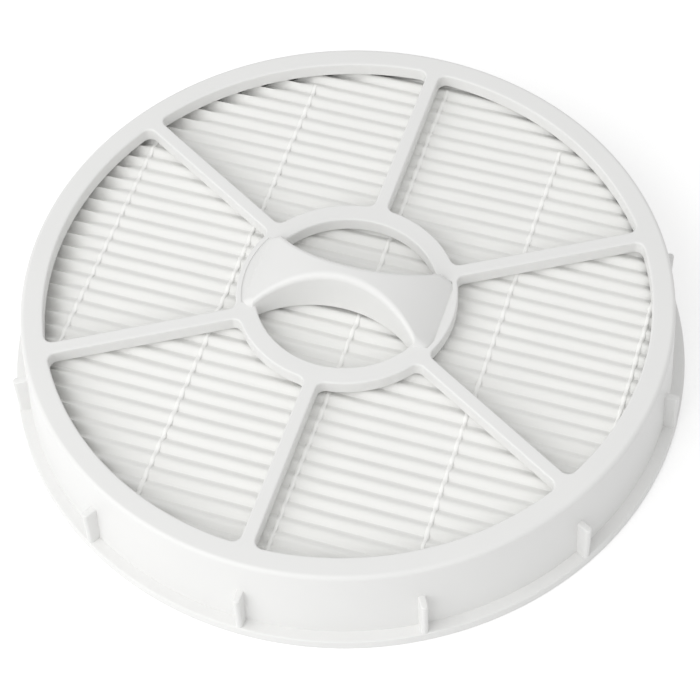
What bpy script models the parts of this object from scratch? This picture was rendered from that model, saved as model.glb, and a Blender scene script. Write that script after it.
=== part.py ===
"""Round pleated vacuum filter: a moulded grille frame with a finger strap, and a folded media pack.

Metres, +Z up. The origin is the centre of the flange's flat underside, on which the filter lies.
The pleats and the strap run along X, and the glue beads run along Y.
"""

import math

import bmesh
import bpy

MM = 0.001

# Frame wall and flange
FRAME_HEIGHT = 24.2 * MM
TOP_RADIUS = 75.0 * MM
WALL_DRAFT = 1.1 * MM
WALL_THICKNESS = 1.6 * MM
TOP_THICKNESS = 1.8 * MM
TOP_EDGE_RADIUS = 1.1 * MM
FLANGE_WIDTH = 2.8 * MM
FLANGE_THICKNESS = 3.0 * MM
FLANGE_EDGE = 0.4 * MM

# Grille: rim lip, spokes and hub ring
GRILLE_DEPTH = 3.8 * MM
GRILLE_EDGE = 0.45 * MM
TOP_RING_WIDTH = 5.3 * MM
LIP_THICKNESS = 1.6 * MM
JOIN_OVERLAP = 0.8 * MM
SPOKE_WIDTH = 3.2 * MM
WINDOW_FILLET = 1.3 * MM
HUB_RADIUS = 25.5 * MM
HUB_RING_WIDTH = 4.5 * MM
WELL_FILLET = 0.7 * MM
SPOKES = 6
FIRST_SPOKE_DEG = 30.0

# Finger strap across the hub
STRAP_RISE = 8.0 * MM
STRAP_LEVEL_PAST_WELL = 1.0 * MM
STRAP_END_INSET = 2.4 * MM
STRAP_WAIST = 4.6 * MM
STRAP_FLARE_INSET = 1.8 * MM
STRAP_END_WIDTH = 20.6 * MM
STRAP_EDGE_RADIUS = 0.9 * MM
STRAP_SIDE_WALL = 1.4 * MM
STRAP_TOP_WALL = 1.6 * MM
STRAP_OVER_GRILLE = 0.6 * MM
STRAP_FOOT_LIFT = 0.1 * MM
HUB_LIP_THICKNESS = 1.2 * MM
END_POCKET_DEPTH = 0.8 * MM
END_POCKET_INSET = 0.5 * MM

# Fins that stand on the flange
FIN_COUNT = 12
FIN_THICKNESS = 1.7 * MM
FIN_HEIGHT = 11.2 * MM
FIN_EDGE = 0.3 * MM
FIN_FLANGE_MARGIN = 0.15 * MM

# Folded media
MEDIA_THICKNESS = 0.45 * MM
PLEAT_PITCH = 3.77 * MM
PLEAT_OFFSET = 0.4 * MM
PLEAT_GAP = 1.35 * MM
PACK_EDGE_CHANNEL = 0.9 * MM
PACK_END_MARGIN = 0.45 * MM
CREST_BELOW_TOP = 4.6 * MM
VALLEY_ABOVE_SEAT = 3.1 * MM

# Glue
FIRST_BEAD_INSET = 12.6 * MM
LAST_BEAD_INSET = 5.4 * MM
BEAD_COUNT = 5
BEAD_WIDTH = 1.1 * MM
BEAD_THICKNESS = 0.3 * MM
BEAD_END_MARGIN = 1.2 * MM
SEALANT_HEIGHT = 5.0 * MM
SEALANT_RECESS = 1.2 * MM
SEALANT_HOLLOW = 0.7 * MM

# Fits and overruns
SEAT_GAP = 0.3 * MM
BEAD_GAP = 0.2 * MM
OVERRUN = 1.0 * MM
WELD = 0.002 * MM

# Facets
RIM_STEPS = 72
WINDOW_ARC_STEPS = 5
HUB_ARC_STEPS = 3
FILLET_STEPS = 2
WELL_STEPS = 10
FIN_END_STEPS = 3
STRAP_STATIONS = 22
CREST_STEPS = 5
UNDER_FOLD_STEPS = 3
SEALANT_STEPS = 48
SHARP_EDGE_DEG = 30.0

# Places worked out from the sizes
TOP_Z = FRAME_HEIGHT
GRILLE_BOTTOM_Z = TOP_Z - GRILLE_DEPTH
WINDOW_RADIUS = TOP_RADIUS - TOP_RING_WIDTH
GRILLE_RADIUS = WINDOW_RADIUS + LIP_THICKNESS
WALL_FOOT_RADIUS = TOP_RADIUS + WALL_DRAFT
FLANGE_RADIUS = WALL_FOOT_RADIUS + FLANGE_WIDTH
WELL_RADIUS = HUB_RADIUS - HUB_RING_WIDTH
PACK_RADIUS = TOP_RADIUS - WALL_THICKNESS - PACK_EDGE_CHANNEL
CREST_Z = TOP_Z - CREST_BELOW_TOP
VALLEY_Z = VALLEY_ABOVE_SEAT
FOLD_RADIUS = (PLEAT_PITCH - PLEAT_GAP) / 2
FOLD_CENTRE_LINE = FOLD_RADIUS - MEDIA_THICKNESS / 2
FIRST_BEAD_X = FIRST_BEAD_INSET - PACK_RADIUS
BEAD_SPACING = (2 * PACK_RADIUS - FIRST_BEAD_INSET - LAST_BEAD_INSET) / (BEAD_COUNT - 1)
STRAP_LEVEL_REACH = WELL_RADIUS + STRAP_LEVEL_PAST_WELL
STRAP_END_REACH = HUB_RADIUS - STRAP_END_INSET
STRAP_FLARE_REACH = WELL_RADIUS - STRAP_FLARE_INSET
STRAP_FLARE = (STRAP_END_WIDTH - STRAP_WAIST) / 2
STRAP_ARC_RADIUS = (STRAP_LEVEL_REACH**2 + STRAP_RISE**2) / (2 * STRAP_RISE)
STRAP_SIDE_RADIUS = (STRAP_FLARE_REACH**2 + STRAP_FLARE**2) / (2 * STRAP_FLARE)
STRAP_SIDE_CENTRE = STRAP_WAIST / 2 + STRAP_SIDE_RADIUS


def clear_scene():
    for obj in list(bpy.data.objects):
        bpy.data.objects.remove(obj, do_unlink=True)


def new_collection(name):
    group = bpy.data.collections.new(name)
    bpy.context.scene.collection.children.link(group)
    return group


def principled(name, colour, roughness):
    made = bpy.data.materials.new(name)
    made.use_nodes = True
    shader = made.node_tree.nodes["Principled BSDF"]
    shader.inputs["Base Color"].default_value = (*colour, 1.0)
    shader.inputs["Roughness"].default_value = roughness
    shader.inputs["Metallic"].default_value = 0.0
    return made


def arc(centre, radius, start, end, steps):
    """Points of an arc, both ends included, with angles in radians."""
    turns = [start + (end - start) * i / steps for i in range(steps + 1)]
    return [(centre[0] + radius * math.cos(a), centre[1] + radius * math.sin(a)) for a in turns]


def turned_about_z(points, angle):
    c, s = math.cos(angle), math.sin(angle)
    return [(x * c - y * s, x * s + y * c) for x, y in points]


def face_outwards(shape):
    bmesh.ops.recalc_face_normals(shape, faces=shape.faces)
    if shape.calc_volume(signed=True) < 0.0:
        bmesh.ops.reverse_faces(shape, faces=shape.faces)


def flat_solid(name, loops, low, high, edge, group):
    """A 2D curve filled between its loops, with chamfered edges, made a mesh from low to high."""
    curve = bpy.data.curves.new(name, "CURVE")
    curve.dimensions = "2D"
    curve.fill_mode = "BOTH"
    curve.extrude = (high - low) / 2 - edge
    curve.bevel_depth = edge
    curve.bevel_resolution = 0
    curve.offset = -edge
    for loop in loops:
        spline = curve.splines.new("POLY")
        spline.points.add(len(loop) - 1)
        for point, (x, y) in zip(spline.points, loop):
            point.co = (x, y, 0.0, 1.0)
        spline.use_cyclic_u = True
    source = bpy.data.objects.new(name + "_outline", curve)
    group.objects.link(source)
    bpy.context.view_layer.update()
    evaluated = source.evaluated_get(bpy.context.evaluated_depsgraph_get())
    mesh = bpy.data.meshes.new_from_object(evaluated)
    bpy.data.objects.remove(source, do_unlink=True)
    middle = (high + low) / 2
    for vertex in mesh.vertices:
        vertex.co.z += middle
        if abs(vertex.co.z - high) < WELD:
            vertex.co.z = high
        if abs(vertex.co.z - low) < WELD:
            vertex.co.z = low
    shape = bmesh.new()
    shape.from_mesh(mesh)
    bmesh.ops.remove_doubles(shape, verts=shape.verts, dist=WELD)
    face_outwards(shape)
    shape.to_mesh(mesh)
    shape.free()
    made = bpy.data.objects.new(name, mesh)
    group.objects.link(made)
    return made


def turned_solid(name, profile, steps, group):
    """A closed profile of (radius, height) points, running down its outer side, turned about Z."""
    mesh = bpy.data.meshes.new(name)
    points = [(radius, 0.0, height) for radius, height in profile]
    edges = [(i, (i + 1) % len(points)) for i in range(len(points))]
    mesh.from_pydata(points, edges, [])
    made = bpy.data.objects.new(name, mesh)
    group.objects.link(made)
    screw = made.modifiers.new("Turn", "SCREW")
    screw.axis = "Z"
    screw.steps = steps
    screw.render_steps = steps
    screw.use_merge_vertices = True
    screw.merge_threshold = WELD
    return made


def lofted_solid(name, sections, group):
    """A closed solid through sections that have the same number of points each."""
    shape = bmesh.new()
    rings = [[shape.verts.new(point) for point in section] for section in sections]
    for ring, following in zip(rings, rings[1:]):
        for i in range(len(ring)):
            j = (i + 1) % len(ring)
            shape.faces.new((ring[i], ring[j], following[j], following[i]))
    shape.faces.new(rings[0])
    shape.faces.new(rings[-1])
    face_outwards(shape)
    mesh = bpy.data.meshes.new(name)
    shape.to_mesh(mesh)
    shape.free()
    made = bpy.data.objects.new(name, mesh)
    group.objects.link(made)
    return made


def boolean(target, other, operation):
    modifier = target.modifiers.new(operation.title() + " " + other.name, "BOOLEAN")
    modifier.operation = operation
    modifier.object = other
    other.hide_render = True
    other.display_type = "WIRE"


def finish(obj, material):
    obj.data.materials.clear()
    obj.data.materials.append(material)
    obj.data.shade_smooth()
    obj.data.set_sharp_from_angle(angle=math.radians(SHARP_EDGE_DEG))


def window_loop(spoke_angle):
    """One window between the spoke at spoke_angle and the next one, with filleted corners."""
    half = math.pi / SPOKES
    inset = SPOKE_WIDTH / 2 + WINDOW_FILLET
    far, near = WINDOW_RADIUS - WINDOW_FILLET, HUB_RADIUS + WINDOW_FILLET
    far_turn, near_turn = half - math.asin(inset / far), half - math.asin(inset / near)
    far_centre = (far * math.cos(far_turn), far * math.sin(far_turn))
    near_centre = (near * math.cos(near_turn), near * math.sin(near_turn))
    side = half + math.pi / 2
    upper = arc((0.0, 0.0), WINDOW_RADIUS, 0.0, far_turn, WINDOW_ARC_STEPS)
    upper += arc(far_centre, WINDOW_FILLET, far_turn, side, FILLET_STEPS)[1:]
    upper += arc(near_centre, WINDOW_FILLET, side, near_turn + math.pi, FILLET_STEPS)
    upper += arc((0.0, 0.0), HUB_RADIUS, near_turn, 0.0, HUB_ARC_STEPS)[1:]
    lower = [(x, -y) for x, y in reversed(upper[1:-1])]
    return turned_about_z(upper + lower, spoke_angle + half)


def strap_half_width(x):
    """Half the strap's width: two side arcs, which turn straight over the hub ring."""
    if abs(x) >= STRAP_FLARE_REACH:
        return STRAP_END_WIDTH / 2
    return STRAP_SIDE_CENTRE - math.sqrt(STRAP_SIDE_RADIUS**2 - x * x)


def strap_top(x):
    """Height of the strap's arc, which passes the level of the ring at STRAP_LEVEL_REACH."""
    return TOP_Z + STRAP_RISE - STRAP_ARC_RADIUS + math.sqrt(STRAP_ARC_RADIUS**2 - x * x)


def well_loop():
    """The finger well on the far side: between the hub ring and the strap, with rounded tips."""
    side_radius = STRAP_SIDE_RADIUS + STRAP_OVER_GRILLE
    ring, side = WELL_RADIUS - WELL_FILLET, side_radius - WELL_FILLET
    y = (ring**2 - side**2 + STRAP_SIDE_CENTRE**2) / (2 * STRAP_SIDE_CENTRE)
    tip = (math.sqrt(ring**2 - y * y), y)
    ring_turn = math.atan2(tip[1], tip[0])
    side_turn = math.atan2(tip[1] - STRAP_SIDE_CENTRE, tip[0])
    right = arc(tip, WELL_FILLET, side_turn, ring_turn, FILLET_STEPS)
    over = arc((0.0, 0.0), WELL_RADIUS, ring_turn, math.pi - ring_turn, WELL_STEPS)[1:-1]
    left = [(-x, y) for x, y in reversed(right)]
    under = arc((0.0, STRAP_SIDE_CENTRE), side_radius, -math.pi - side_turn, side_turn, WELL_STEPS)[1:-1]
    return right + over + left + under


def grille_plate(group):
    """Rim lip, spokes and hub ring as one plate with windows and finger wells."""
    disc = arc((0.0, 0.0), GRILLE_RADIUS, 0.0, 2 * math.pi, RIM_STEPS)[:-1]
    spoke_angles = [math.radians(FIRST_SPOKE_DEG) + 2 * math.pi * i / SPOKES for i in range(SPOKES)]
    windows = [window_loop(angle) for angle in spoke_angles]
    wells = [turned_about_z(well_loop(), turn) for turn in (0.0, math.pi)]
    return flat_solid("frame", [disc] + windows + wells, GRILLE_BOTTOM_Z, TOP_Z, GRILLE_EDGE, group)


def rim(group):
    """Top ring, drafted wall and flange, turned from one profile."""
    inner_top = TOP_RADIUS - WALL_THICKNESS
    inner_foot = WALL_FOOT_RADIUS - WALL_THICKNESS
    ring_inside = GRILLE_RADIUS - JOIN_OVERLAP
    edge_centre = (TOP_RADIUS - TOP_EDGE_RADIUS, TOP_Z - TOP_EDGE_RADIUS)
    profile = [(ring_inside, TOP_Z)]
    profile += arc(edge_centre, TOP_EDGE_RADIUS, math.pi / 2, 0.0, FILLET_STEPS)
    profile += [
        (WALL_FOOT_RADIUS, FLANGE_THICKNESS),
        (FLANGE_RADIUS - FLANGE_EDGE, FLANGE_THICKNESS),
        (FLANGE_RADIUS, FLANGE_THICKNESS - FLANGE_EDGE),
        (FLANGE_RADIUS, FLANGE_EDGE),
        (FLANGE_RADIUS - FLANGE_EDGE, 0.0),
        (inner_foot, 0.0),
        (inner_top, TOP_Z - TOP_THICKNESS),
        (ring_inside, TOP_Z - TOP_THICKNESS),
    ]
    return turned_solid("rim", profile, RIM_STEPS, group)


def strap(group):
    """The arched strap, waisted in plan, with rounded long edges and walls down to the grille."""
    foot = GRILLE_BOTTOM_Z + STRAP_FOOT_LIFT
    sections = []
    for i in range(STRAP_STATIONS + 1):
        x = STRAP_END_REACH * (2 * i / STRAP_STATIONS - 1)
        half, top = strap_half_width(x), strap_top(x)
        edge_centre = (half - STRAP_EDGE_RADIUS, top - STRAP_EDGE_RADIUS)
        edge = arc(edge_centre, STRAP_EDGE_RADIUS, 0.0, math.pi / 2, FILLET_STEPS)
        right = [(x, half, foot)] + [(x, y, z) for y, z in edge]
        sections.append(right + [(x, -y, z) for x, y, z in reversed(right)])
    return lofted_solid("strap", sections, group)


def strap_hollow(group):
    """The open underside of the strap, which leaves side walls and a top wall."""
    reach = math.sqrt(WELL_RADIUS**2 - (STRAP_END_WIDTH / 2) ** 2)
    low = GRILLE_BOTTOM_Z - OVERRUN
    sections = []
    for i in range(STRAP_STATIONS + 1):
        x = reach * (2 * i / STRAP_STATIONS - 1)
        half = strap_half_width(x) - STRAP_SIDE_WALL
        top = strap_top(x) - STRAP_TOP_WALL
        sections.append([(x, half, low), (x, half, top), (x, -half, top), (x, -half, low)])
    return lofted_solid("strap_hollow", sections, group)


def end_pocket(side, group):
    """The shallow pocket in which an end of the strap meets the thin hub lip."""
    radius = HUB_RADIUS - HUB_LIP_THICKNESS
    half = STRAP_END_WIDTH / 2 - END_POCKET_INSET
    turn = math.asin(half / radius)
    start = WELL_RADIUS
    loop = arc((0.0, 0.0), radius, -turn, turn, HUB_ARC_STEPS)
    loop += [(start, half), (start, -half)]
    loop = [(side * x, y) for x, y in loop]
    name = "end_pocket_right" if side > 0 else "end_pocket_left"
    return flat_solid(name, [loop], TOP_Z - END_POCKET_DEPTH, TOP_Z + OVERRUN, 0.0, group)


def fin(index, group):
    """An upright fin with a rounded outer end, from the wall to the edge of the flange."""
    reach = FLANGE_RADIUS - FIN_FLANGE_MARGIN - FIN_THICKNESS / 2
    inside = TOP_RADIUS - WALL_THICKNESS / 2
    loop = arc((reach, 0.0), FIN_THICKNESS / 2, -math.pi / 2, math.pi / 2, FIN_END_STEPS)
    loop += [(inside, FIN_THICKNESS / 2), (inside, -FIN_THICKNESS / 2)]
    low = FLANGE_THICKNESS / 2
    high = FLANGE_THICKNESS + FIN_HEIGHT
    turned = turned_about_z(loop, 2 * math.pi * index / FIN_COUNT)
    return flat_solid(f"fin_{index + 1:02d}", [turned], low, high, FIN_EDGE, group)


def build_frame(parts, helpers, material):
    frame = grille_plate(parts)
    for side in (1, -1):
        boolean(frame, end_pocket(side, helpers), "DIFFERENCE")
    boolean(frame, strap(helpers), "UNION")
    boolean(frame, strap_hollow(helpers), "DIFFERENCE")
    boolean(frame, rim(helpers), "UNION")
    for index in range(FIN_COUNT):
        boolean(frame, fin(index, helpers), "UNION")
    finish(frame, material)


def pleat_centre_line():
    """The folded sheet's middle line as (y, z), its outermost folds pressed flat at the pack's edge."""
    top_centre, low_centre = CREST_Z - FOLD_RADIUS, VALLEY_Z + FOLD_RADIUS
    slant = math.asin((2 * FOLD_CENTRE_LINE - PLEAT_PITCH / 2) / (top_centre - low_centre))
    over = arc((0.0, top_centre), FOLD_CENTRE_LINE, math.pi + slant, -slant, CREST_STEPS)
    under_centre = (PLEAT_PITCH / 2, low_centre)
    under = arc(under_centre, FOLD_CENTRE_LINE, math.pi - slant, 2 * math.pi + slant, UNDER_FOLD_STEPS)
    reach = PACK_RADIUS - PACK_END_MARGIN
    first = math.ceil((-reach - PLEAT_OFFSET) / PLEAT_PITCH)
    last = math.floor((reach - PLEAT_OFFSET) / PLEAT_PITCH)
    line = [(-reach, low_centre)]
    for k in range(first, last + 1):
        shift = PLEAT_OFFSET + k * PLEAT_PITCH
        pleat = over + (under if k < last else [])
        for y, z in pleat:
            point = (max(-reach, min(reach, y + shift)), z)
            if math.dist(point, line[-1]) > MEDIA_THICKNESS:
                line.append(point)
    return line + [(reach, low_centre)]


def build_media(group, material):
    """One sheet folded along X, with its ends cut to a circle, given its thickness by Solidify."""
    shape = bmesh.new()
    rows = []
    for y, z in pleat_centre_line():
        half = math.sqrt(PACK_RADIUS**2 - (abs(y) + MEDIA_THICKNESS / 2) ** 2)
        rows.append((shape.verts.new((-half, y, z)), shape.verts.new((half, y, z))))
    for (a, b), (c, d) in zip(rows, rows[1:]):
        shape.faces.new((a, b, d, c))
    mesh = bpy.data.meshes.new("pleated_media")
    shape.to_mesh(mesh)
    shape.free()
    media = bpy.data.objects.new("pleated_media", mesh)
    group.objects.link(media)
    finish(media, material)
    wall = media.modifiers.new("Paper", "SOLIDIFY")
    wall.thickness = MEDIA_THICKNESS
    wall.offset = 0.0


def bead_line(first, last, up):
    """A bead's outline as (y, z): half a hexagon over each fold, and level along its outer side."""
    centre = CREST_Z - FOLD_RADIUS if up else VALLEY_Z + FOLD_RADIUS
    sign = 1.0 if up else -1.0
    half = PLEAT_PITCH / 2
    over = FOLD_RADIUS + BEAD_GAP
    shoulder = over * math.tan(math.pi / 6)
    cusp = over - (half - shoulder) * math.tan(math.pi / 3)
    shift = PLEAT_OFFSET + (0.0 if up else half)
    inner = []
    for k in range(first, last + 1):
        y = shift + k * PLEAT_PITCH
        if k > first:
            inner.append((y - half, centre + sign * cusp))
        inner += [(y - shoulder, centre + sign * over), (y + shoulder, centre + sign * over)]
    edge = centre + sign * (over + BEAD_THICKNESS)
    return inner + [(inner[-1][0], edge), (inner[0][0], edge)]


def build_bead(name, x, up, group, material):
    shift = PLEAT_OFFSET + (0.0 if up else PLEAT_PITCH / 2)
    reach = math.sqrt(PACK_RADIUS**2 - x * x) - BEAD_END_MARGIN - PLEAT_PITCH / 2
    first = math.ceil((-reach - shift) / PLEAT_PITCH)
    last = math.floor((reach - shift) / PLEAT_PITCH)
    bead = flat_solid(name, [bead_line(first, last, up)], -BEAD_WIDTH / 2, BEAD_WIDTH / 2, 0.0, group)
    for vertex in bead.data.vertices:
        y, z, across = vertex.co
        vertex.co = (x + across, y, z)
    finish(bead, material)


def build_sealant(group, material):
    """The ring of adhesive that closes the gap between the cut edge of the pack and the wall."""
    draft = WALL_DRAFT / (FRAME_HEIGHT - FLANGE_THICKNESS)
    top = SEALANT_RECESS + SEALANT_HEIGHT
    inside = (PACK_RADIUS + SEAT_GAP) / math.cos(math.pi / SEALANT_STEPS)
    foot = WALL_FOOT_RADIUS - WALL_THICKNESS - SEAT_GAP
    profile = [
        (inside, top - SEALANT_HOLLOW),
        (foot - draft * top, top),
        (foot - draft * SEALANT_RECESS, SEALANT_RECESS),
        ((inside + foot) / 2, SEALANT_RECESS + SEALANT_HOLLOW),
        (inside, SEALANT_RECESS),
    ]
    ring = turned_solid("edge_sealant", profile, SEALANT_STEPS, group)
    finish(ring, material)


def main():
    clear_scene()
    parts = new_collection("Vacuum_filter")
    helpers = new_collection("Helpers")
    plastic = principled("White_plastic", (0.79, 0.79, 0.77), 0.42)
    paper = principled("Filter_media", (0.84, 0.84, 0.81), 0.92)
    glue = principled("Hot_melt_glue", (0.86, 0.86, 0.83), 0.38)
    build_frame(parts, helpers, plastic)
    build_media(parts, paper)
    for index in range(BEAD_COUNT):
        x = FIRST_BEAD_X + index * BEAD_SPACING
        build_bead(f"top_bead_{index + 1}", x, True, parts, glue)
        build_bead(f"under_bead_{index + 1}", x, False, parts, glue)
    build_sealant(parts, glue)


main()
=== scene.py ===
"""Looks of a round pleated vacuum filter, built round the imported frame. Metres, +Z up.

The moulded frame, the folded media and the glue are rebuilt finer than in the frame, at the same
sizes and places, and get their finishes here. The folds run along X and the glue beads along Y.
"""

import math

import bmesh
import bpy
import numpy as np
from mathutils import Matrix, Vector


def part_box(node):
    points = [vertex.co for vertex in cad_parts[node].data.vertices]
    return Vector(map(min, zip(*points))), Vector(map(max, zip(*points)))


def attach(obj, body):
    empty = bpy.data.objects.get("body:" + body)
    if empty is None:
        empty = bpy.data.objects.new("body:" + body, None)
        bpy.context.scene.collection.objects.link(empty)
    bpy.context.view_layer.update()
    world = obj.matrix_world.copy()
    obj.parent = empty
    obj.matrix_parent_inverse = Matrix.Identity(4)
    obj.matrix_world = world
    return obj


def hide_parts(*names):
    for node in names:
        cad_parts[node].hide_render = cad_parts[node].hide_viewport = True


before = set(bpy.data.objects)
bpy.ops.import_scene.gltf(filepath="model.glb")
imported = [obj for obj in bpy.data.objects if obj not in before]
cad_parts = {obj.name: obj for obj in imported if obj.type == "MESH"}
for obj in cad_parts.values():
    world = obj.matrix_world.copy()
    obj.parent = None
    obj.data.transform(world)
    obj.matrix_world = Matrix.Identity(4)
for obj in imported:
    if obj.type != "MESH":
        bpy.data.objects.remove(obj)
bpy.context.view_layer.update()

MM = 0.001
SEED = 7

# Sizes that come from the frame
FRAME_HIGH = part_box("frame")[1]
PACK_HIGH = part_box("pleated_media")[1]
ADHESIVE_LOW, ADHESIVE_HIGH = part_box("edge_sealant")
FLANGE_RADIUS = FRAME_HIGH[0]
STRAP_RISE = 8.0 * MM
TOP_Z = round(FRAME_HIGH[2] - STRAP_RISE, 6)

# Rim: top ring, drafted wall and flange
FLANGE_WIDTH = 2.8 * MM
FLANGE_THICKNESS = 3.0 * MM
FLANGE_EDGE = 0.4 * MM
WALL_DRAFT = 1.1 * MM
WALL_THICKNESS = 1.6 * MM
TOP_THICKNESS = 1.8 * MM
TOP_EDGE_RADIUS = 1.1 * MM
TOP_RING_WIDTH = 5.3 * MM
WALL_FOOT_RADIUS = FLANGE_RADIUS - FLANGE_WIDTH
TOP_RADIUS = WALL_FOOT_RADIUS - WALL_DRAFT
WINDOW_RADIUS = TOP_RADIUS - TOP_RING_WIDTH
RIM_STEPS = 288
RIM_EDGE_STEPS = 6

# Grille: lip, spokes and hub ring
GRILLE_DEPTH = 3.8 * MM
GRILLE_EDGE = 0.45 * MM
GRILLE_EDGE_RESOLUTION = 3
LIP_THICKNESS = 1.6 * MM
JOIN_OVERLAP = 0.8 * MM
SPOKES = 6
FIRST_SPOKE = math.radians(30.0)
SPOKE_WIDTH = 3.2 * MM
WINDOW_FILLET = 2.0 * MM
HUB_RADIUS = 25.5 * MM
WELL_RADIUS = 21.0 * MM
WELL_FILLET = 0.7 * MM
WINDOW_ARC_STEPS = 20
HUB_ARC_STEPS = 12
FILLET_STEPS = 6
WELL_STEPS = 36
GRILLE_BOTTOM_Z = TOP_Z - GRILLE_DEPTH
GRILLE_RADIUS = WINDOW_RADIUS + LIP_THICKNESS

# Finger strap
STRAP_LEVEL_REACH = 22.0 * MM
STRAP_END_REACH = 23.1 * MM
STRAP_FLARE_REACH = 19.2 * MM
STRAP_WAIST = 4.6 * MM
STRAP_END_WIDTH = 20.6 * MM
STRAP_EDGE_RADIUS = 1.7 * MM
STRAP_SIDE_WALL = 1.4 * MM
STRAP_TOP_WALL = 1.6 * MM
STRAP_OVER_GRILLE = 0.6 * MM
STRAP_FOOT_LIFT = 0.1 * MM
STRAP_STATIONS = 72
STRAP_EDGE_STEPS = 9
HUB_LIP_THICKNESS = 1.2 * MM
RIGHT_POCKET_DEPTH = 0.8 * MM
LEFT_POCKET_DEPTH = 0.25 * MM
END_POCKET_INSET = 0.5 * MM
STRAP_FLARE = (STRAP_END_WIDTH - STRAP_WAIST) / 2
STRAP_ARC_RADIUS = (STRAP_LEVEL_REACH**2 + STRAP_RISE**2) / (2 * STRAP_RISE)
STRAP_SIDE_RADIUS = (STRAP_FLARE_REACH**2 + STRAP_FLARE**2) / (2 * STRAP_FLARE)
STRAP_SIDE_CENTRE = STRAP_WAIST / 2 + STRAP_SIDE_RADIUS

# Fins on the flange
FIN_COUNT = 12
FIN_THICKNESS = 1.7 * MM
FIN_HEIGHT = 11.2 * MM
FIN_EDGE = 0.35 * MM
FIN_EDGE_RESOLUTION = 2
FIN_FLANGE_MARGIN = 0.15 * MM
FIN_END_STEPS = 10

# Folded media
MEDIA_THICKNESS = 0.45 * MM
PLEAT_PITCH = 3.77 * MM
PLEAT_OFFSET = 0.75 * MM
FOLD_PRESS = 0.22 * MM
FOLD_WAVINESS = 0.35 * MM
PACK_END_MARGIN = 0.45 * MM
CREST_BELOW_TOP = 4.6 * MM
VALLEY_ABOVE_SEAT = 3.1 * MM
CHANNEL_DEPTH = 0.75 * MM
CHANNEL_UNEVENNESS = 0.3 * MM
END_CHANNEL_DEPTH = 2.3 * MM
LEFT_OPENING = 9.5 * MM
RIGHT_OPENING = 3.0 * MM
FULLY_OPEN_SHARE = 0.25
PACK_RADIUS = PACK_HIGH[0]
CREST_Z = TOP_Z - CREST_BELOW_TOP
VALLEY_Z = VALLEY_ABOVE_SEAT
SHOULDER = (PLEAT_PITCH + FOLD_PRESS - MEDIA_THICKNESS) / 2
CREST_STEPS = 10
UNDER_FOLD_STEPS = 4
MEDIA_COLUMNS = 77
COLUMN_BUNCHING = 0.45
END_FLANK_STEPS = 8
MEDIA_SHARP_ANGLE = math.radians(60.0)

# How the noise that bends the media runs: along X, from fold to fold, and its scale
DEPTH_ALONG = 0.5
DEPTH_PER_FOLD = 9.0
DEPTH_PLANE = 0.03
DEPTH_SCALE = 110.0
SWAY_PER_FOLD = 5.0
SWAY_SCALE = 160.0
NOISE_MIDDLE = 0.5

# Glue beads and edge adhesive
BEADS = 5
BEAD_WIDTH = 1.0 * MM
BEAD_END_MARGIN = 3 * BEAD_WIDTH
BEAD_SINK = 0.1 * MM
BEAD_RISE = 0.3 * MM
BEAD_SAG = 0.5 * MM
BEAD_WANDER = 0.02 * MM
BEAD_UNEVENNESS = 0.12
BEAD_UNDER_SHARE = 0.25
BEAD_STEPS_A_FOLD = 8
BEAD_ROUND_STEPS = 8
BEAD_SHARP_ANGLE = math.radians(60.0)
ADHESIVE_CLEARANCE = 0.3 * MM
ADHESIVE_DRAFT = 0.05
ADHESIVE_HOLLOW = 0.7 * MM
ADHESIVE_HOLLOW_SHARES = (0.2, 0.4, 0.6, 0.8)
ADHESIVE_STEPS = 240
ADHESIVE_SHARP_ANGLE = math.radians(40.0)

SHARP_ANGLE = math.radians(32.0)
WELD = 0.002 * MM
OVERRUN = 1.0 * MM

# Finishes
GRAIN_DETAIL = 4.0
GRAIN_ROUGHNESS = 0.6
DRIFT_DETAIL = 2.0
GRAIN_LOW = 0.3
GRAIN_HIGH = 0.7
PLASTIC_SPECULAR = 0.4
PAPER_SPECULAR = 0.2
PAPER_SHEEN = 0.15

# Camera, worked out from the ellipses of the rim and the flange
CAMERA_PLACE = (0.105453, -0.285605, 0.435385)
CAMERA_RIGHT = (0.95115, 0.30739, -0.02864)
CAMERA_UP = (-0.23633, 0.78469, 0.57307)
CAMERA_LENS_MM = 114.83
SENSOR_MM = 36.0
CAMERA_REACH = 10.0

# Light and floor
WORLD_STRENGTH = 0.69
FLOOR_HALF = 3.0
FLOOR_TONE = 0.83
FLOOR_ROUGHNESS = 0.9
FLOOR_GLOW = 0.35


def level(shape, heights):
    """Puts points that lie within a hair of one of the heights exactly on it."""
    for vertex in shape.verts:
        for height in heights:
            if abs(vertex.co.z - height) < WELD:
                vertex.co.z = height


def lathe(name, profile, steps, heights=()):
    """A closed profile of (radius, height) points, running down its outer side, turned about Z."""
    shape = bmesh.new()
    corners = [shape.verts.new((radius, 0.0, height)) for radius, height in profile]
    edges = [shape.edges.new((a, b)) for a, b in zip(corners, corners[1:] + corners[:1])]
    bmesh.ops.spin(
        shape, geom=corners + edges, axis=(0.0, 0.0, 1.0), cent=(0.0, 0.0, 0.0),
        angle=2 * math.pi, steps=steps, use_duplicate=False,
    )
    bmesh.ops.remove_doubles(shape, verts=shape.verts, dist=WELD)
    level(shape, heights)
    return solid_from(shape, name)


def solid_from(shape, name):
    """Closes work on a bmesh: faces outwards, made an object that is linked to the scene."""
    bmesh.ops.recalc_face_normals(shape, faces=shape.faces)
    if shape.calc_volume(signed=True) < 0.0:
        bmesh.ops.reverse_faces(shape, faces=shape.faces)
    mesh = bpy.data.meshes.new(name)
    shape.to_mesh(mesh)
    shape.free()
    return linked(name, mesh)


def linked(name, mesh):
    made = bpy.data.objects.new(name, mesh)
    bpy.context.scene.collection.objects.link(made)
    return made


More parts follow.
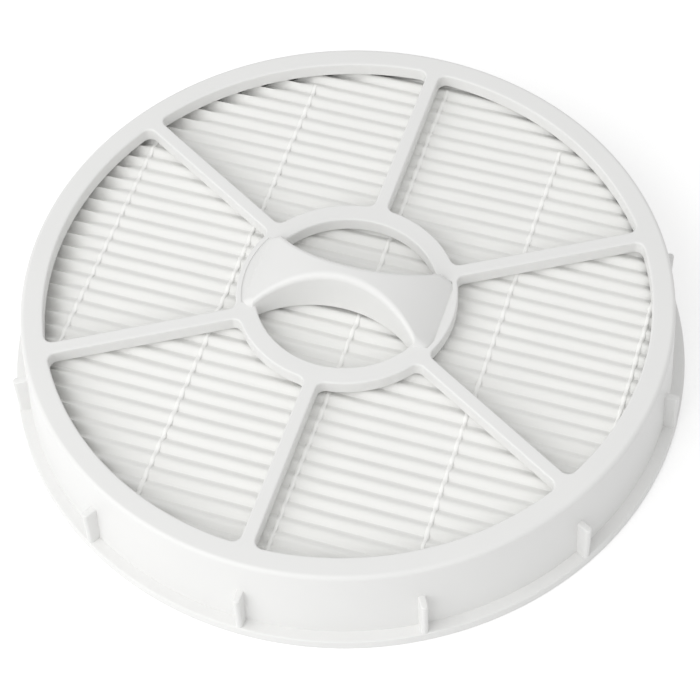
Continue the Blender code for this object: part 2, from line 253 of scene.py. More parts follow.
def arc(centre, radius, start, end, steps):
    """Points of an arc, both ends included, with angles in radians."""
    turns = [start + (end - start) * i / steps for i in range(steps + 1)]
    return [(centre[0] + radius * math.cos(a), centre[1] + radius * math.sin(a)) for a in turns]


def turned(points, angle):
    c, s = math.cos(angle), math.sin(angle)
    return [(x * c - y * s, x * s + y * c) for x, y in points]


def plate(name, loops, low, high, edge, resolution=GRILLE_EDGE_RESOLUTION):
    """A flat curve filled between its loops, with rounded edges, made a mesh from low to high."""
    curve = bpy.data.curves.new(name, "CURVE")
    curve.dimensions = "2D"
    curve.fill_mode = "BOTH"
    curve.extrude = (high - low) / 2 - edge
    curve.bevel_depth = edge
    curve.bevel_resolution = resolution
    curve.offset = -edge
    for loop in loops:
        spline = curve.splines.new("POLY")
        spline.points.add(len(loop) - 1)
        for point, (x, y) in zip(spline.points, loop):
            point.co = (x, y, 0.0, 1.0)
        spline.use_cyclic_u = True
    outline = linked(name + "_outline", curve)
    bpy.context.view_layer.update()
    mesh = bpy.data.meshes.new_from_object(outline.evaluated_get(bpy.context.evaluated_depsgraph_get()))
    bpy.data.objects.remove(outline, do_unlink=True)
    shape = bmesh.new()
    shape.from_mesh(mesh)
    bpy.data.meshes.remove(mesh)
    middle = (high + low) / 2
    for vertex in shape.verts:
        vertex.co.z += middle
    level(shape, (low, high))
    bmesh.ops.remove_doubles(shape, verts=shape.verts, dist=WELD)
    return solid_from(shape, name)


def lofted(name, sections):
    """A closed solid through sections that have the same number of points each."""
    shape = bmesh.new()
    rings = [[shape.verts.new(point) for point in section] for section in sections]
    for ring, following in zip(rings, rings[1:]):
        for i in range(len(ring)):
            j = (i + 1) % len(ring)
            shape.faces.new((ring[i], ring[j], following[j], following[i]))
    shape.faces.new(rings[0])
    shape.faces.new(rings[-1])
    return solid_from(shape, name)


def plain_mesh(obj):
    """Turns the evaluated object into a plain mesh and drops its modifiers."""
    bpy.context.view_layer.update()
    evaluated = obj.evaluated_get(bpy.context.evaluated_depsgraph_get())
    mesh = bpy.data.meshes.new_from_object(evaluated)
    obj.modifiers.clear()
    obj.data = mesh
    return obj


def cut_or_join(target, others, operation):
    """Applies Booleans one after the other, then removes the pieces that went in."""
    for other in others:
        modifier = target.modifiers.new(operation, "BOOLEAN")
        modifier.operation = operation
        modifier.solver = "MANIFOLD"
        modifier.object = other
    plain_mesh(target)
    for other in others:
        bpy.data.objects.remove(other, do_unlink=True)


def smooth_with_flats(obj):
    """Smooth shading with sharp edges, and normals weighted so that flat faces stay flat."""
    obj.data.shade_smooth()
    obj.data.set_sharp_from_angle(angle=SHARP_ANGLE)
    weighted = obj.modifiers.new("Flat faces stay flat", "WEIGHTED_NORMAL")
    weighted.keep_sharp = True
    plain_mesh(obj)


def ready(obj, slot, *nodes):
    """Rides on the root and stands for the nodes; the slot argument is not used."""
    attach(obj, "root")
    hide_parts(*nodes)
    return obj


# Node trees

def feed(tree, socket, value):
    """Links a socket to value if that is a socket, and sets it as a constant otherwise."""
    if isinstance(value, bpy.types.NodeSocket):
        tree.links.new(value, socket)
    else:
        socket.default_value = value


def calc(tree, operation, *values):
    node = tree.nodes.new("ShaderNodeMath")
    node.operation = operation
    for socket, value in zip(node.inputs, values):
        feed(tree, socket, value)
    return node.outputs[0]


def span(tree, value, low, high, to_low, to_high, smooth=False):
    """Maps value from low..high to to_low..to_high, held at both ends."""
    node = tree.nodes.new("ShaderNodeMapRange")
    node.interpolation_type = "SMOOTHSTEP" if smooth else "LINEAR"
    for socket, given in zip(node.inputs, (value, low, high, to_low, to_high)):
        feed(tree, socket, given)
    return node.outputs[0]


def place(tree, x, y, z):
    node = tree.nodes.new("ShaderNodeCombineXYZ")
    for socket, value in zip(node.inputs, (x, y, z)):
        feed(tree, socket, value)
    return node.outputs[0]


def parts_of(tree, vector):
    node = tree.nodes.new("ShaderNodeSeparateXYZ")
    tree.links.new(vector, node.inputs[0])
    return node.outputs


def noise_about_zero(tree, vector, scale):
    """Smooth noise between -0.5 and 0.5."""
    node = tree.nodes.new("ShaderNodeTexNoise")
    feed(tree, node.inputs["Vector"], vector)
    node.inputs["Scale"].default_value = scale
    node.inputs["Detail"].default_value = 1.0
    return calc(tree, "SUBTRACT", node.outputs["Fac"], NOISE_MIDDLE)


def blended(tree, share, first, second):
    """The share of the first value and the rest of the second."""
    rest = calc(tree, "SUBTRACT", 1.0, share)
    return calc(tree, "ADD", calc(tree, "MULTIPLY", share, first), calc(tree, "MULTIPLY", rest, second))


def geometry_tree(name, inputs):
    """A Geometry Nodes tree that takes and gives geometry, with named float or integer inputs."""
    tree = bpy.data.node_groups.new(name, "GeometryNodeTree")
    tree.interface.new_socket("Geometry", in_out="INPUT", socket_type="NodeSocketGeometry")
    tree.interface.new_socket("Geometry", in_out="OUTPUT", socket_type="NodeSocketGeometry")
    for label, kind in inputs:
        tree.interface.new_socket(label, in_out="INPUT", socket_type=kind)
    entry = tree.nodes.new("NodeGroupInput")
    return tree, entry.outputs


def end_tree(tree, geometry, material):
    """Realizes instances, sets the material and gives the result out."""
    realize = tree.nodes.new("GeometryNodeRealizeInstances")
    tree.links.new(geometry, realize.inputs[0])
    painted = tree.nodes.new("GeometryNodeSetMaterial")
    painted.inputs["Material"].default_value = material
    tree.links.new(realize.outputs[0], painted.inputs["Geometry"])
    leave = tree.nodes.new("NodeGroupOutput")
    tree.links.new(painted.outputs[0], leave.inputs[0])


def run_tree(obj, tree, values):
    """Runs the tree on the object with its named inputs set, and leaves a plain mesh."""
    modifier = obj.modifiers.new(tree.name, "NODES")
    modifier.node_group = tree
    inputs = [item for item in tree.interface.items_tree if item.in_out == "INPUT"]
    sockets = {item.name: item.identifier for item in inputs}
    for label, value in values.items():
        modifier[sockets[label]] = value
    return plain_mesh(obj)


# Finishes

def grain_group():
    """Fine moulded or fibrous grain: a height, and a slow tone that drifts over the surface."""
    group = bpy.data.node_groups.new("Surface_grain", "ShaderNodeTree")
    group.interface.new_socket("Grain scale", in_out="INPUT", socket_type="NodeSocketFloat")
    group.interface.new_socket("Drift scale", in_out="INPUT", socket_type="NodeSocketFloat")
    group.interface.new_socket("Height", in_out="OUTPUT", socket_type="NodeSocketFloat")
    group.interface.new_socket("Drift", in_out="OUTPUT", socket_type="NodeSocketFloat")
    entry = group.nodes.new("NodeGroupInput")
    leave = group.nodes.new("NodeGroupOutput")
    spot = group.nodes.new("ShaderNodeTexCoord").outputs["Object"]
    grain = group.nodes.new("ShaderNodeTexNoise")
    group.links.new(spot, grain.inputs["Vector"])
    group.links.new(entry.outputs["Grain scale"], grain.inputs["Scale"])
    grain.inputs["Detail"].default_value = GRAIN_DETAIL
    grain.inputs["Roughness"].default_value = GRAIN_ROUGHNESS
    drift = group.nodes.new("ShaderNodeTexNoise")
    group.links.new(spot, drift.inputs["Vector"])
    group.links.new(entry.outputs["Drift scale"], drift.inputs["Scale"])
    drift.inputs["Detail"].default_value = DRIFT_DETAIL
    group.links.new(grain.outputs["Fac"], leave.inputs["Height"])
    group.links.new(drift.outputs["Fac"], leave.inputs["Drift"])
    return group


def surface(name, grain, tones, roughness, grain_scale, drift_scale, bump, distance):
    """A Principled material whose colour drifts between two tones, with a fine grain as bump."""
    material = bpy.data.materials.new(name)
    material.use_nodes = True
    tree = material.node_tree
    shader = tree.nodes["Principled BSDF"]
    texture = tree.nodes.new("ShaderNodeGroup")
    texture.node_tree = grain
    texture.inputs["Grain scale"].default_value = grain_scale
    texture.inputs["Drift scale"].default_value = drift_scale
    mix = tree.nodes.new("ShaderNodeMix")
    mix.data_type = "RGBA"
    tree.links.new(texture.outputs["Drift"], mix.inputs["Factor"])
    mix.inputs["A"].default_value = (*tones[0], 1.0)
    mix.inputs["B"].default_value = (*tones[1], 1.0)
    tree.links.new(mix.outputs["Result"], shader.inputs["Base Color"])
    rough = span(tree, texture.outputs["Height"], GRAIN_LOW, GRAIN_HIGH, *roughness)
    tree.links.new(rough, shader.inputs["Roughness"])
    relief = tree.nodes.new("ShaderNodeBump")
    relief.inputs["Strength"].default_value = bump
    relief.inputs["Distance"].default_value = distance
    tree.links.new(texture.outputs["Height"], relief.inputs["Height"])
    tree.links.new(relief.outputs["Normal"], shader.inputs["Normal"])
    return material, shader


# Moulded frame

def window_loop(spoke_angle):
    """One window between the spoke at spoke_angle and the next one, with filleted corners."""
    half = math.pi / SPOKES
    inset = SPOKE_WIDTH / 2 + WINDOW_FILLET
    far, near = WINDOW_RADIUS - WINDOW_FILLET, HUB_RADIUS + WINDOW_FILLET
    far_turn, near_turn = half - math.asin(inset / far), half - math.asin(inset / near)
    far_centre = (far * math.cos(far_turn), far * math.sin(far_turn))
    near_centre = (near * math.cos(near_turn), near * math.sin(near_turn))
    side = half + math.pi / 2
    upper = arc((0.0, 0.0), WINDOW_RADIUS, 0.0, far_turn, WINDOW_ARC_STEPS)
    upper += arc(far_centre, WINDOW_FILLET, far_turn, side, FILLET_STEPS)[1:]
    upper += arc(near_centre, WINDOW_FILLET, side, near_turn + math.pi, FILLET_STEPS)
    upper += arc((0.0, 0.0), HUB_RADIUS, near_turn, 0.0, HUB_ARC_STEPS)[1:]
    lower = [(x, -y) for x, y in reversed(upper[1:-1])]
    return turned(upper + lower, spoke_angle + half)


def strap_half_width(x):
    if abs(x) >= STRAP_FLARE_REACH:
        return STRAP_END_WIDTH / 2
    return STRAP_SIDE_CENTRE - math.sqrt(STRAP_SIDE_RADIUS**2 - x * x)


def strap_top(x):
    return TOP_Z + STRAP_RISE - STRAP_ARC_RADIUS + math.sqrt(STRAP_ARC_RADIUS**2 - x * x)


def well_loop():
    """The finger well on the far side: between the hub ring and the strap, with rounded tips."""
    side_radius = STRAP_SIDE_RADIUS + STRAP_OVER_GRILLE
    ring, side = WELL_RADIUS - WELL_FILLET, side_radius - WELL_FILLET
    y = (ring**2 - side**2 + STRAP_SIDE_CENTRE**2) / (2 * STRAP_SIDE_CENTRE)
    tip = (math.sqrt(ring**2 - y * y), y)
    ring_turn = math.atan2(tip[1], tip[0])
    side_turn = math.atan2(tip[1] - STRAP_SIDE_CENTRE, tip[0])
    right = arc(tip, WELL_FILLET, side_turn, ring_turn, FILLET_STEPS)
    over = arc((0.0, 0.0), WELL_RADIUS, ring_turn, math.pi - ring_turn, WELL_STEPS)[1:-1]
    left = [(-x, y) for x, y in reversed(right)]
    centre = (0.0, STRAP_SIDE_CENTRE)
    under = arc(centre, side_radius, -math.pi - side_turn, side_turn, WELL_STEPS)[1:-1]
    return right + over + left + under


def grille():
    disc = arc((0.0, 0.0), GRILLE_RADIUS, 0.0, 2 * math.pi, RIM_STEPS)[:-1]
    windows = [window_loop(FIRST_SPOKE + 2 * math.pi * i / SPOKES) for i in range(SPOKES)]
    wells = [turned(well_loop(), turn) for turn in (0.0, math.pi)]
    return plate("moulded_frame", [disc] + windows + wells, GRILLE_BOTTOM_Z, TOP_Z, GRILLE_EDGE)


def end_pocket(side, depth):
    """The shallow pocket in which an end of the strap meets the thin hub lip; side is 1 or -1."""
    radius = HUB_RADIUS - HUB_LIP_THICKNESS
    half = STRAP_END_WIDTH / 2 - END_POCKET_INSET
    turn = math.asin(half / radius)
    loop = arc((0.0, 0.0), radius, -turn, turn, HUB_ARC_STEPS)
    loop += [(WELL_RADIUS, half), (WELL_RADIUS, -half)]
    loop = [(side * x, y) for x, y in loop]
    return plate("end_pocket", [loop], TOP_Z - depth, TOP_Z + OVERRUN, 0.0, 0)


def strap():
    foot = GRILLE_BOTTOM_Z + STRAP_FOOT_LIFT
    sections = []
    for i in range(STRAP_STATIONS + 1):
        x = STRAP_END_REACH * (2 * i / STRAP_STATIONS - 1)
        half, top = strap_half_width(x), strap_top(x)
        corner = (half - STRAP_EDGE_RADIUS, top - STRAP_EDGE_RADIUS)
        edge = arc(corner, STRAP_EDGE_RADIUS, 0.0, math.pi / 2, STRAP_EDGE_STEPS)
        right = [(x, half, foot)] + [(x, y, z) for y, z in edge]
        sections.append(right + [(x, -y, z) for x, y, z in reversed(right)])
    return lofted("strap", sections)


def strap_hollow():
    reach = math.sqrt(WELL_RADIUS**2 - (STRAP_END_WIDTH / 2) ** 2)
    low = GRILLE_BOTTOM_Z - OVERRUN
    sections = []
    for i in range(STRAP_STATIONS + 1):
        x = reach * (2 * i / STRAP_STATIONS - 1)
        half = strap_half_width(x) - STRAP_SIDE_WALL
        top = strap_top(x) - STRAP_TOP_WALL
        sections.append([(x, half, low), (x, half, top), (x, -half, top), (x, -half, low)])
    return lofted("strap_hollow", sections)


def rim():
    inner_top = TOP_RADIUS - WALL_THICKNESS
    inner_foot = WALL_FOOT_RADIUS - WALL_THICKNESS
    ring_inside = GRILLE_RADIUS - JOIN_OVERLAP
    edge_centre = (TOP_RADIUS - TOP_EDGE_RADIUS, TOP_Z - TOP_EDGE_RADIUS)
    low_edge = (FLANGE_RADIUS - FLANGE_EDGE, FLANGE_EDGE)
    high_edge = (FLANGE_RADIUS - FLANGE_EDGE, FLANGE_THICKNESS - FLANGE_EDGE)
    profile = [(ring_inside, TOP_Z)]
    profile += arc(edge_centre, TOP_EDGE_RADIUS, math.pi / 2, 0.0, RIM_EDGE_STEPS)
    profile += [(WALL_FOOT_RADIUS, FLANGE_THICKNESS)]
    profile += arc(high_edge, FLANGE_EDGE, math.pi / 2, 0.0, RIM_EDGE_STEPS // 2)
    profile += arc(low_edge, FLANGE_EDGE, 0.0, -math.pi / 2, RIM_EDGE_STEPS // 2)
    profile += [
        (inner_foot, 0.0),
        (inner_top, TOP_Z - TOP_THICKNESS),
        (ring_inside, TOP_Z - TOP_THICKNESS),
    ]
    return lathe("rim", profile, RIM_STEPS, (0.0, FLANGE_THICKNESS, TOP_Z))


def fin():
    """One upright fin at +X, with a rounded outer end."""
    reach = FLANGE_RADIUS - FIN_FLANGE_MARGIN - FIN_THICKNESS / 2
    inside = TOP_RADIUS - WALL_THICKNESS / 2
    loop = arc((reach, 0.0), FIN_THICKNESS / 2, -math.pi / 2, math.pi / 2, FIN_END_STEPS)
    loop += [(inside, FIN_THICKNESS / 2), (inside, -FIN_THICKNESS / 2)]
    low, high = FLANGE_THICKNESS / 2, FLANGE_THICKNESS + FIN_HEIGHT
    return plate("fins", [loop], low, high, FIN_EDGE, FIN_EDGE_RESOLUTION)


def ring_of_copies(material):
    """Copies of what it gets, turned about Z, as many as the input says."""
    tree, given = geometry_tree("Ring_of_copies", [("Copies", "NodeSocketInt")])
    points = tree.nodes.new("GeometryNodePoints")
    tree.links.new(given["Copies"], points.inputs["Count"])
    copies = tree.nodes.new("GeometryNodeInstanceOnPoints")
    tree.links.new(points.outputs[0], copies.inputs["Points"])
    tree.links.new(given["Geometry"], copies.inputs["Instance"])
    index = tree.nodes.new("GeometryNodeInputIndex").outputs[0]
    share = calc(tree, "DIVIDE", index, given["Copies"])
    turn = calc(tree, "MULTIPLY", share, 2 * math.pi)
    feed(tree, copies.inputs["Rotation"], place(tree, 0.0, 0.0, turn))
    end_tree(tree, copies.outputs[0], material)
    return tree


def moulded_frame(material):
    body = grille()
    pockets = [end_pocket(1, RIGHT_POCKET_DEPTH), end_pocket(-1, LEFT_POCKET_DEPTH)]
    cut_or_join(body, pockets, "DIFFERENCE")
    cut_or_join(body, [strap()], "UNION")
    cut_or_join(body, [strap_hollow()], "DIFFERENCE")
    fins = run_tree(fin(), ring_of_copies(material), {"Copies": FIN_COUNT})
    cut_or_join(body, [rim(), fins], "UNION")
    body.data.materials.clear()
    body.data.materials.append(material)
    smooth_with_flats(body)
    return ready(body, "frame_plastic", "frame")


# Folded media

def bead_places():
    boxes = [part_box(f"top_bead_{i}") for i in range(1, BEADS + 1)]
    return [(low[0] + high[0]) / 2 for low, high in boxes]


def opening(y, side, most, beads):
    """How far the folds stand open at a row's cut end: from its last bead on, up to most."""
    half = math.sqrt(max(0.0, PACK_RADIUS**2 - (abs(y) + MEDIA_THICKNESS / 2) ** 2))
    held = max([side * x for x in beads if side * x < half - BEAD_END_MARGIN] + [-half])
    return max(BEAD_WIDTH, min(most, half - held - BEAD_WIDTH / 2))


def fold_rows():
    """The sheet's rows from front to back, as (middle of the fold, share of the way over it, height).

    The height runs from -1 at the bottom of the folds to 1 at the top.
    """
    reach = PACK_RADIUS - PACK_END_MARGIN
    half_over = reach + SHOULDER / 2
    first = math.ceil((-half_over - PLEAT_OFFSET) / PLEAT_PITCH)
    last = math.floor((half_over - PLEAT_OFFSET) / PLEAT_PITCH)
    front = PLEAT_OFFSET + first * PLEAT_PITCH - SHOULDER
    back = PLEAT_OFFSET + last * PLEAT_PITCH + SHOULDER
    steps = [i / END_FLANK_STEPS for i in range(END_FLANK_STEPS)]
    rows = [(-reach + (front + reach) * step, 0.0, 2 * step - 1) for step in steps]
    for k in range(first, last + 1):
        middle = PLEAT_OFFSET + k * PLEAT_PITCH
        rows += [(middle, 2 * i / CREST_STEPS - 1, 1.0) for i in range(CREST_STEPS + 1)]
        if k < last:
            under = middle + PLEAT_PITCH / 2
            rows += [(under, 2 * i / UNDER_FOLD_STEPS - 1, -1.0) for i in range(UNDER_FOLD_STEPS + 1)]
    return rows + [(reach + (back - reach) * step, 0.0, 2 * step - 1) for step in reversed(steps)]


def fold_guide():
    """A wire with one point for each row of the sheet, which carries the row's form as attributes."""
    rows = fold_rows()
    beads = bead_places()
    reach = PACK_RADIUS - PACK_END_MARGIN
    places = [max(-reach, min(reach, middle + SHOULDER * turn)) for middle, turn, _ in rows]
    mesh = bpy.data.meshes.new("fold_guide")
    mesh.from_pydata([(0.0, y, 0.0) for y in places], [(i, i + 1) for i in range(len(rows) - 1)], [])
    columns = {
        "middle": [row[0] for row in rows],
        "side": [row[2] for row in rows],
        "free": [1.0 - row[1] ** 2 for row in rows],
        "wave": [(1.0 - math.cos(math.pi * row[1])) / 2 for row in rows],
        "scoop": [1.0 - (1.0 - abs(row[1])) ** 2 for row in rows],
        "left_opening": [opening(y, -1.0, LEFT_OPENING, beads) for y in places],
        "right_opening": [opening(y, 1.0, RIGHT_OPENING, beads) for y in places],
    }
    for name, values in columns.items():
        attribute = mesh.attributes.new(name, "FLOAT", "POINT")
        attribute.data.foreach_set("value", values)
    return linked("folded_media", mesh)


def sampled(tree, geometry, kind, value, index):
    node = tree.nodes.new("GeometryNodeSampleIndex")
    node.data_type = kind
    tree.links.new(geometry, node.inputs["Geometry"])
    tree.links.new(value, node.inputs["Value"])
    tree.links.new(index, node.inputs["Index"])
    return node.outputs["Value"]


def attribute(tree, name):
    node = tree.nodes.new("GeometryNodeInputNamedAttribute")
    node.data_type = "FLOAT"
    node.inputs["Name"].default_value = name
    return node.outputs["Attribute"]


def half_length(tree, y, radius):
    """Half the length of a row that is cut to a circle."""
    reach = calc(tree, "ADD", calc(tree, "ABSOLUTE", y), MEDIA_THICKNESS / 2)
    squares = [calc(tree, "POWER", value, 2.0) for value in (radius, reach)]
    squared = calc(tree, "SUBTRACT", *squares)
    return calc(tree, "SQRT", calc(tree, "MAXIMUM", squared, 0.0))


def bunched_share(tree, along):
    """Turns an even share of 0 to 1 into -1 to 1, with the steps closer at both ends."""
    share = calc(tree, "MULTIPLY_ADD", along, 2.0, -1.0)
    bow = calc(tree, "SINE", calc(tree, "MULTIPLY", share, math.pi / 2))
    bunched = calc(tree, "MULTIPLY", bow, COLUMN_BUNCHING)
    return calc(tree, "MULTIPLY_ADD", share, 1.0 - COLUMN_BUNCHING, bunched)


def folded_sheet(material):
    """Lays the rows along X, cut to a circle, with channels between them that deepen at the ends."""
    tree, given = geometry_tree("Folded_sheet", [
        ("Rows", "NodeSocketInt"), ("Columns", "NodeSocketInt"), ("Radius", "NodeSocketFloat"),
        ("Channel depth", "NodeSocketFloat"), ("End channel depth", "NodeSocketFloat"),
        ("Top", "NodeSocketFloat"), ("Bottom", "NodeSocketFloat"),
        ("Waviness", "NodeSocketFloat"), ("Unevenness", "NodeSocketFloat"),
    ])
    grid = tree.nodes.new("GeometryNodeMeshGrid")
    tree.links.new(given["Columns"], grid.inputs["Vertices X"])
    tree.links.new(given["Rows"], grid.inputs["Vertices Y"])
    index = tree.nodes.new("GeometryNodeInputIndex").outputs[0]
    row = calc(tree, "MODULO", index, given["Rows"])
    column = calc(tree, "FLOOR", calc(tree, "DIVIDE", index, given["Rows"]))
    along = calc(tree, "DIVIDE", column, calc(tree, "SUBTRACT", given["Columns"], 1.0))
    spot = tree.nodes.new("GeometryNodeInputPosition").outputs[0]
    y = parts_of(tree, sampled(tree, given["Geometry"], "FLOAT_VECTOR", spot, row))[1]
    middle, side, free, wave, scoop, left_opening, right_opening = (
        sampled(tree, given["Geometry"], "FLOAT", attribute(tree, name), row)
        for name in ("middle", "side", "free", "wave", "scoop", "left_opening", "right_opening")
    )
    half = half_length(tree, y, given["Radius"])
    x = calc(tree, "MULTIPLY", half, bunched_share(tree, along))

    left = calc(tree, "LESS_THAN", x, 0.0)
    length = blended(tree, left, left_opening, right_opening)
    from_end = calc(tree, "SUBTRACT", half, calc(tree, "ABSOLUTE", x))
    full = calc(tree, "MULTIPLY", length, FULLY_OPEN_SHARE)
    opened = span(tree, from_end, length, full, 0.0, 1.0, True)

    along_depth = calc(tree, "MULTIPLY", x, DEPTH_ALONG)
    depth_spot = place(tree, along_depth, calc(tree, "MULTIPLY", middle, DEPTH_PER_FOLD), DEPTH_PLANE)
    drift = noise_about_zero(tree, depth_spot, DEPTH_SCALE)
    difference = calc(tree, "SUBTRACT", given["End channel depth"], given["Channel depth"])
    deeper = calc(tree, "MULTIPLY", difference, opened)
    uneven = calc(tree, "MULTIPLY_ADD", drift, given["Unevenness"], given["Channel depth"])
    depth = calc(tree, "ADD", uneven, deeper)
    turned_more = calc(tree, "MULTIPLY", calc(tree, "SUBTRACT", scoop, wave), opened)
    form = calc(tree, "ADD", wave, turned_more)
    level_z = blended(tree, span(tree, side, -1.0, 1.0, 0.0, 1.0), given["Top"], given["Bottom"])
    drop = calc(tree, "MULTIPLY", calc(tree, "MULTIPLY", form, depth), side)
    z = calc(tree, "SUBTRACT", level_z, drop)

    sway_spot = place(tree, x, calc(tree, "MULTIPLY", middle, SWAY_PER_FOLD), 0.0)
    aside = noise_about_zero(tree, sway_spot, SWAY_SCALE)
    sway = calc(tree, "MULTIPLY", calc(tree, "MULTIPLY", aside, given["Waviness"]), free)

    moved = tree.nodes.new("GeometryNodeSetPosition")
    tree.links.new(grid.outputs["Mesh"], moved.inputs["Geometry"])
    feed(tree, moved.inputs["Position"], place(tree, x, calc(tree, "ADD", y, sway), z))
    smooth = tree.nodes.new("GeometryNodeSetShadeSmooth")
    tree.links.new(moved.outputs[0], smooth.inputs[0])
    end_tree(tree, smooth.outputs[0], material)
    return tree


def folded_media(material):
    guide = fold_guide()
    rows = len(guide.data.vertices)
    media = run_tree(guide, folded_sheet(material), {
        "Rows": rows,
        "Columns": MEDIA_COLUMNS,
        "Radius": PACK_RADIUS,
        "Channel depth": CHANNEL_DEPTH,
        "End channel depth": END_CHANNEL_DEPTH,
        "Top": CREST_Z - MEDIA_THICKNESS / 2,
        "Bottom": VALLEY_Z + MEDIA_THICKNESS / 2,
        "Waviness": FOLD_WAVINESS,
        "Unevenness": CHANNEL_UNEVENNESS,
    })
    paper = media.modifiers.new("Paper", "SOLIDIFY")
    paper.thickness = MEDIA_THICKNESS
    paper.offset = 0.0
    plain_mesh(media)
    media.data.shade_smooth()
    media.data.set_sharp_from_angle(angle=MEDIA_SHARP_ANGLE)
    return ready(media, "media", "pleated_media")


# Glue

def bead_path(node, up):
    """The bead's way over the folds, as (x, y, z) points with a bow over each fold."""
    low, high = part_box(node)
    x = (low[0] + high[0]) / 2
    folds = round((high[1] - low[1]) / PLEAT_PITCH)
    steps = max(1, folds) * BEAD_STEPS_A_FOLD
    points = []
    for i in range(steps + 1):
        y = low[1] + (high[1] - low[1]) * i / steps
        phase = (y - PLEAT_OFFSET) / PLEAT_PITCH - (0.0 if up else 0.5)
        dip = BEAD_SAG * (0.5 - 0.5 * math.cos(2 * math.pi * phase))
        z = CREST_Z - BEAD_SINK - dip if up else VALLEY_Z + BEAD_SINK + dip
        points.append((x, y, z))
    return points


def glue_bead(node, up, material, rng):
    """A low ridge of hot melt laid over the folds, uneven in width and height as it is drawn on."""
    path = bead_path(node, up)
    sign = 1.0 if up else -1.0
    wander = np.cumsum(rng.normal(0.0, 1.0, len(path)))
    wander = (wander - np.linspace(wander[0], wander[-1], len(path))) * BEAD_WANDER
    widths = BEAD_WIDTH * (1.0 + BEAD_UNEVENNESS * rng.standard_normal(len(path)))
    rises = BEAD_RISE * (1.0 + BEAD_UNEVENNESS * rng.standard_normal(len(path)))
    turns = [math.pi * j / BEAD_ROUND_STEPS for j in range(BEAD_ROUND_STEPS + 1)]
    sections = []
    for (x, y, z), aside, width, rise in zip(path, wander, widths, rises):
        across = [x + aside + width / 2 * math.cos(a) for a in turns]
        up = [sign * rise * math.sin(a) for a in turns]
        over = [(side, y, z + height) for side, height in zip(across, up)]
        under = [(side, y, z - BEAD_UNDER_SHARE * height) for side, height in zip(across, up)]
        sections.append(over + list(reversed(under[1:-1])))
    bead = lofted("glue_" + node, sections)
    bead.data.materials.append(material)
    bead.data.shade_smooth()
    bead.data.set_sharp_from_angle(angle=BEAD_SHARP_ANGLE)
    return ready(bead, "glue", node)


def edge_adhesive(material):
    """The ring of adhesive between the cut edge of the pack and the wall, its faces a bit hollow."""
    inside, outside = PACK_RADIUS + ADHESIVE_CLEARANCE, ADHESIVE_HIGH[0]
    low, high = ADHESIVE_LOW[2], ADHESIVE_HIGH[2]
    hollow = [(share, ADHESIVE_HOLLOW * math.sin(math.pi * share)) for share in ADHESIVE_HOLLOW_SHARES]
    top_outside = outside - ADHESIVE_DRAFT * (high - low)
    profile = [(inside, high)]
    profile += [(inside + (top_outside - inside) * s, high - h) for s, h in hollow]
    profile += [(top_outside, high), (outside, low)]
    profile += [(outside + (inside - outside) * s, low + h) for s, h in hollow]
    profile += [(inside, low)]
    ring = lathe("edge_adhesive", profile, ADHESIVE_STEPS)
    ring.data.materials.append(material)
    ring.data.shade_smooth()
    ring.data.set_sharp_from_angle(angle=ADHESIVE_SHARP_ANGLE)
    return ready(ring, "glue", "edge_sealant")


# Stage

def camera():
    data = bpy.data.cameras.new("Camera")
    data.lens = CAMERA_LENS_MM
    data.sensor_width = SENSOR_MM
    data.clip_end = CAMERA_REACH
    made = linked("Camera", data)
    right, up = Vector(CAMERA_RIGHT).normalized(), Vector(CAMERA_UP).normalized()
    turn = Matrix((right, up, right.cross(up))).transposed()
    made.matrix_world = Matrix.Translation(CAMERA_PLACE) @ turn.to_4x4()
    bpy.context.scene.camera = made


def lamp(name, azimuth, elevation, distance, size, watts):
    """A square area lamp that faces the filter, at an azimuth and elevation in degrees."""
    data = bpy.data.lights.new(name, "AREA")
    data.shape = "SQUARE"
    data.size = size
    data.energy = watts
    made = linked(name, data)
    turn, rise = math.radians(azimuth), math.radians(elevation)
    way = Vector((math.cos(rise) * math.cos(turn), math.cos(rise) * math.sin(turn), math.sin(rise)))
    facing = way.to_track_quat("Z", "Y").to_matrix().to_4x4()
    made.matrix_world = Matrix.Translation(way * distance) @ facing


def seen_share(tree):
    """One for rays from the camera, from gloss and through glass, and zero for light on surfaces."""
    path = tree.nodes.new("ShaderNodeLightPath")
    seen = calc(tree, "MAXIMUM", path.outputs["Is Camera Ray"], path.outputs["Is Glossy Ray"])
    return calc(tree, "MAXIMUM", seen, path.outputs["Is Transmission Ray"])


def world_light():
    """White to the camera, and a little dimmer as light on surfaces."""
    world = bpy.data.worlds.new("Studio")
    bpy.context.scene.world = world
    world.use_nodes = True
    tree = world.node_tree
    background = tree.nodes["Background"]
    background.inputs["Color"].default_value = (1.0, 1.0, 1.0, 1.0)
    strength = span(tree, seen_share(tree), 0.0, 1.0, WORLD_STRENGTH, 1.0)
    tree.links.new(strength, background.inputs["Strength"])


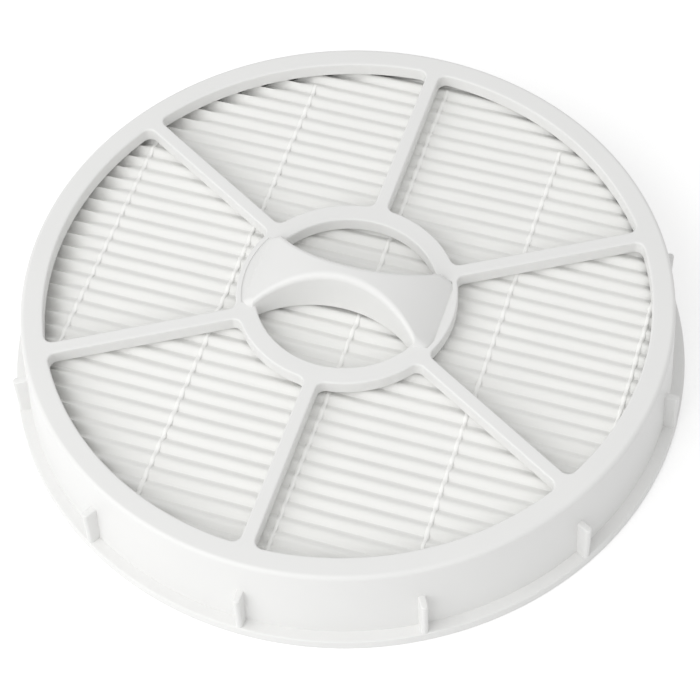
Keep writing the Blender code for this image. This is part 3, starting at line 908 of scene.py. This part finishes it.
def floor():
    """A pale floor that looks white to the camera and keeps the filter's soft shadow."""
    corners = [(x * FLOOR_HALF, y * FLOOR_HALF, 0.0) for x, y in ((-1, -1), (1, -1), (1, 1), (-1, 1))]
    mesh = bpy.data.meshes.new("Floor")
    mesh.from_pydata(corners, [], [(0, 1, 2, 3)])
    made = linked("Floor", mesh)
    material = bpy.data.materials.new("Floor_paper")
    material.use_nodes = True
    tree = material.node_tree
    shader = tree.nodes["Principled BSDF"]
    shader.inputs["Base Color"].default_value = (FLOOR_TONE, FLOOR_TONE, FLOOR_TONE, 1.0)
    shader.inputs["Roughness"].default_value = FLOOR_ROUGHNESS
    shader.inputs["Specular IOR Level"].default_value = 0.0
    shader.inputs["Emission Color"].default_value = (1.0, 1.0, 1.0, 1.0)
    glow = calc(tree, "MULTIPLY", seen_share(tree), FLOOR_GLOW)
    tree.links.new(glow, shader.inputs["Emission Strength"])
    mesh.materials.append(material)


def main():
    rng = np.random.default_rng(SEED)
    grain = grain_group()
    plastic, plastic_shader = surface(
        "White_moulded_plastic", grain,
        tones=((0.80, 0.80, 0.79), (0.83, 0.83, 0.82)), roughness=(0.36, 0.48),
        grain_scale=2600.0, drift_scale=45.0, bump=0.12, distance=0.05 * MM,
    )
    plastic_shader.inputs["Specular IOR Level"].default_value = PLASTIC_SPECULAR
    paper, paper_shader = surface(
        "Filter_paper", grain,
        tones=((0.83, 0.83, 0.811), (0.86, 0.86, 0.841)), roughness=(0.82, 0.95),
        grain_scale=1500.0, drift_scale=60.0, bump=0.35, distance=0.10 * MM,
    )
    paper_shader.inputs["Specular IOR Level"].default_value = PAPER_SPECULAR
    paper_shader.inputs["Sheen Weight"].default_value = PAPER_SHEEN
    glue = surface(
        "Hot_melt_glue", grain,
        tones=((0.90, 0.90, 0.88), (0.93, 0.93, 0.91)), roughness=(0.28, 0.45),
        grain_scale=900.0, drift_scale=120.0, bump=0.1, distance=0.1 * MM,
    )[0]
    moulded_frame(plastic)
    folded_media(paper)
    for index in range(1, BEADS + 1):
        glue_bead(f"top_bead_{index}", True, glue, rng)
        glue_bead(f"under_bead_{index}", False, glue, rng)
    edge_adhesive(glue)
    camera()
    lamp("Key", azimuth=240.0, elevation=40.0, distance=0.95, size=0.9, watts=4.9)
    world_light()
    floor()
    bpy.context.scene.view_settings.view_transform = "Standard"


main()
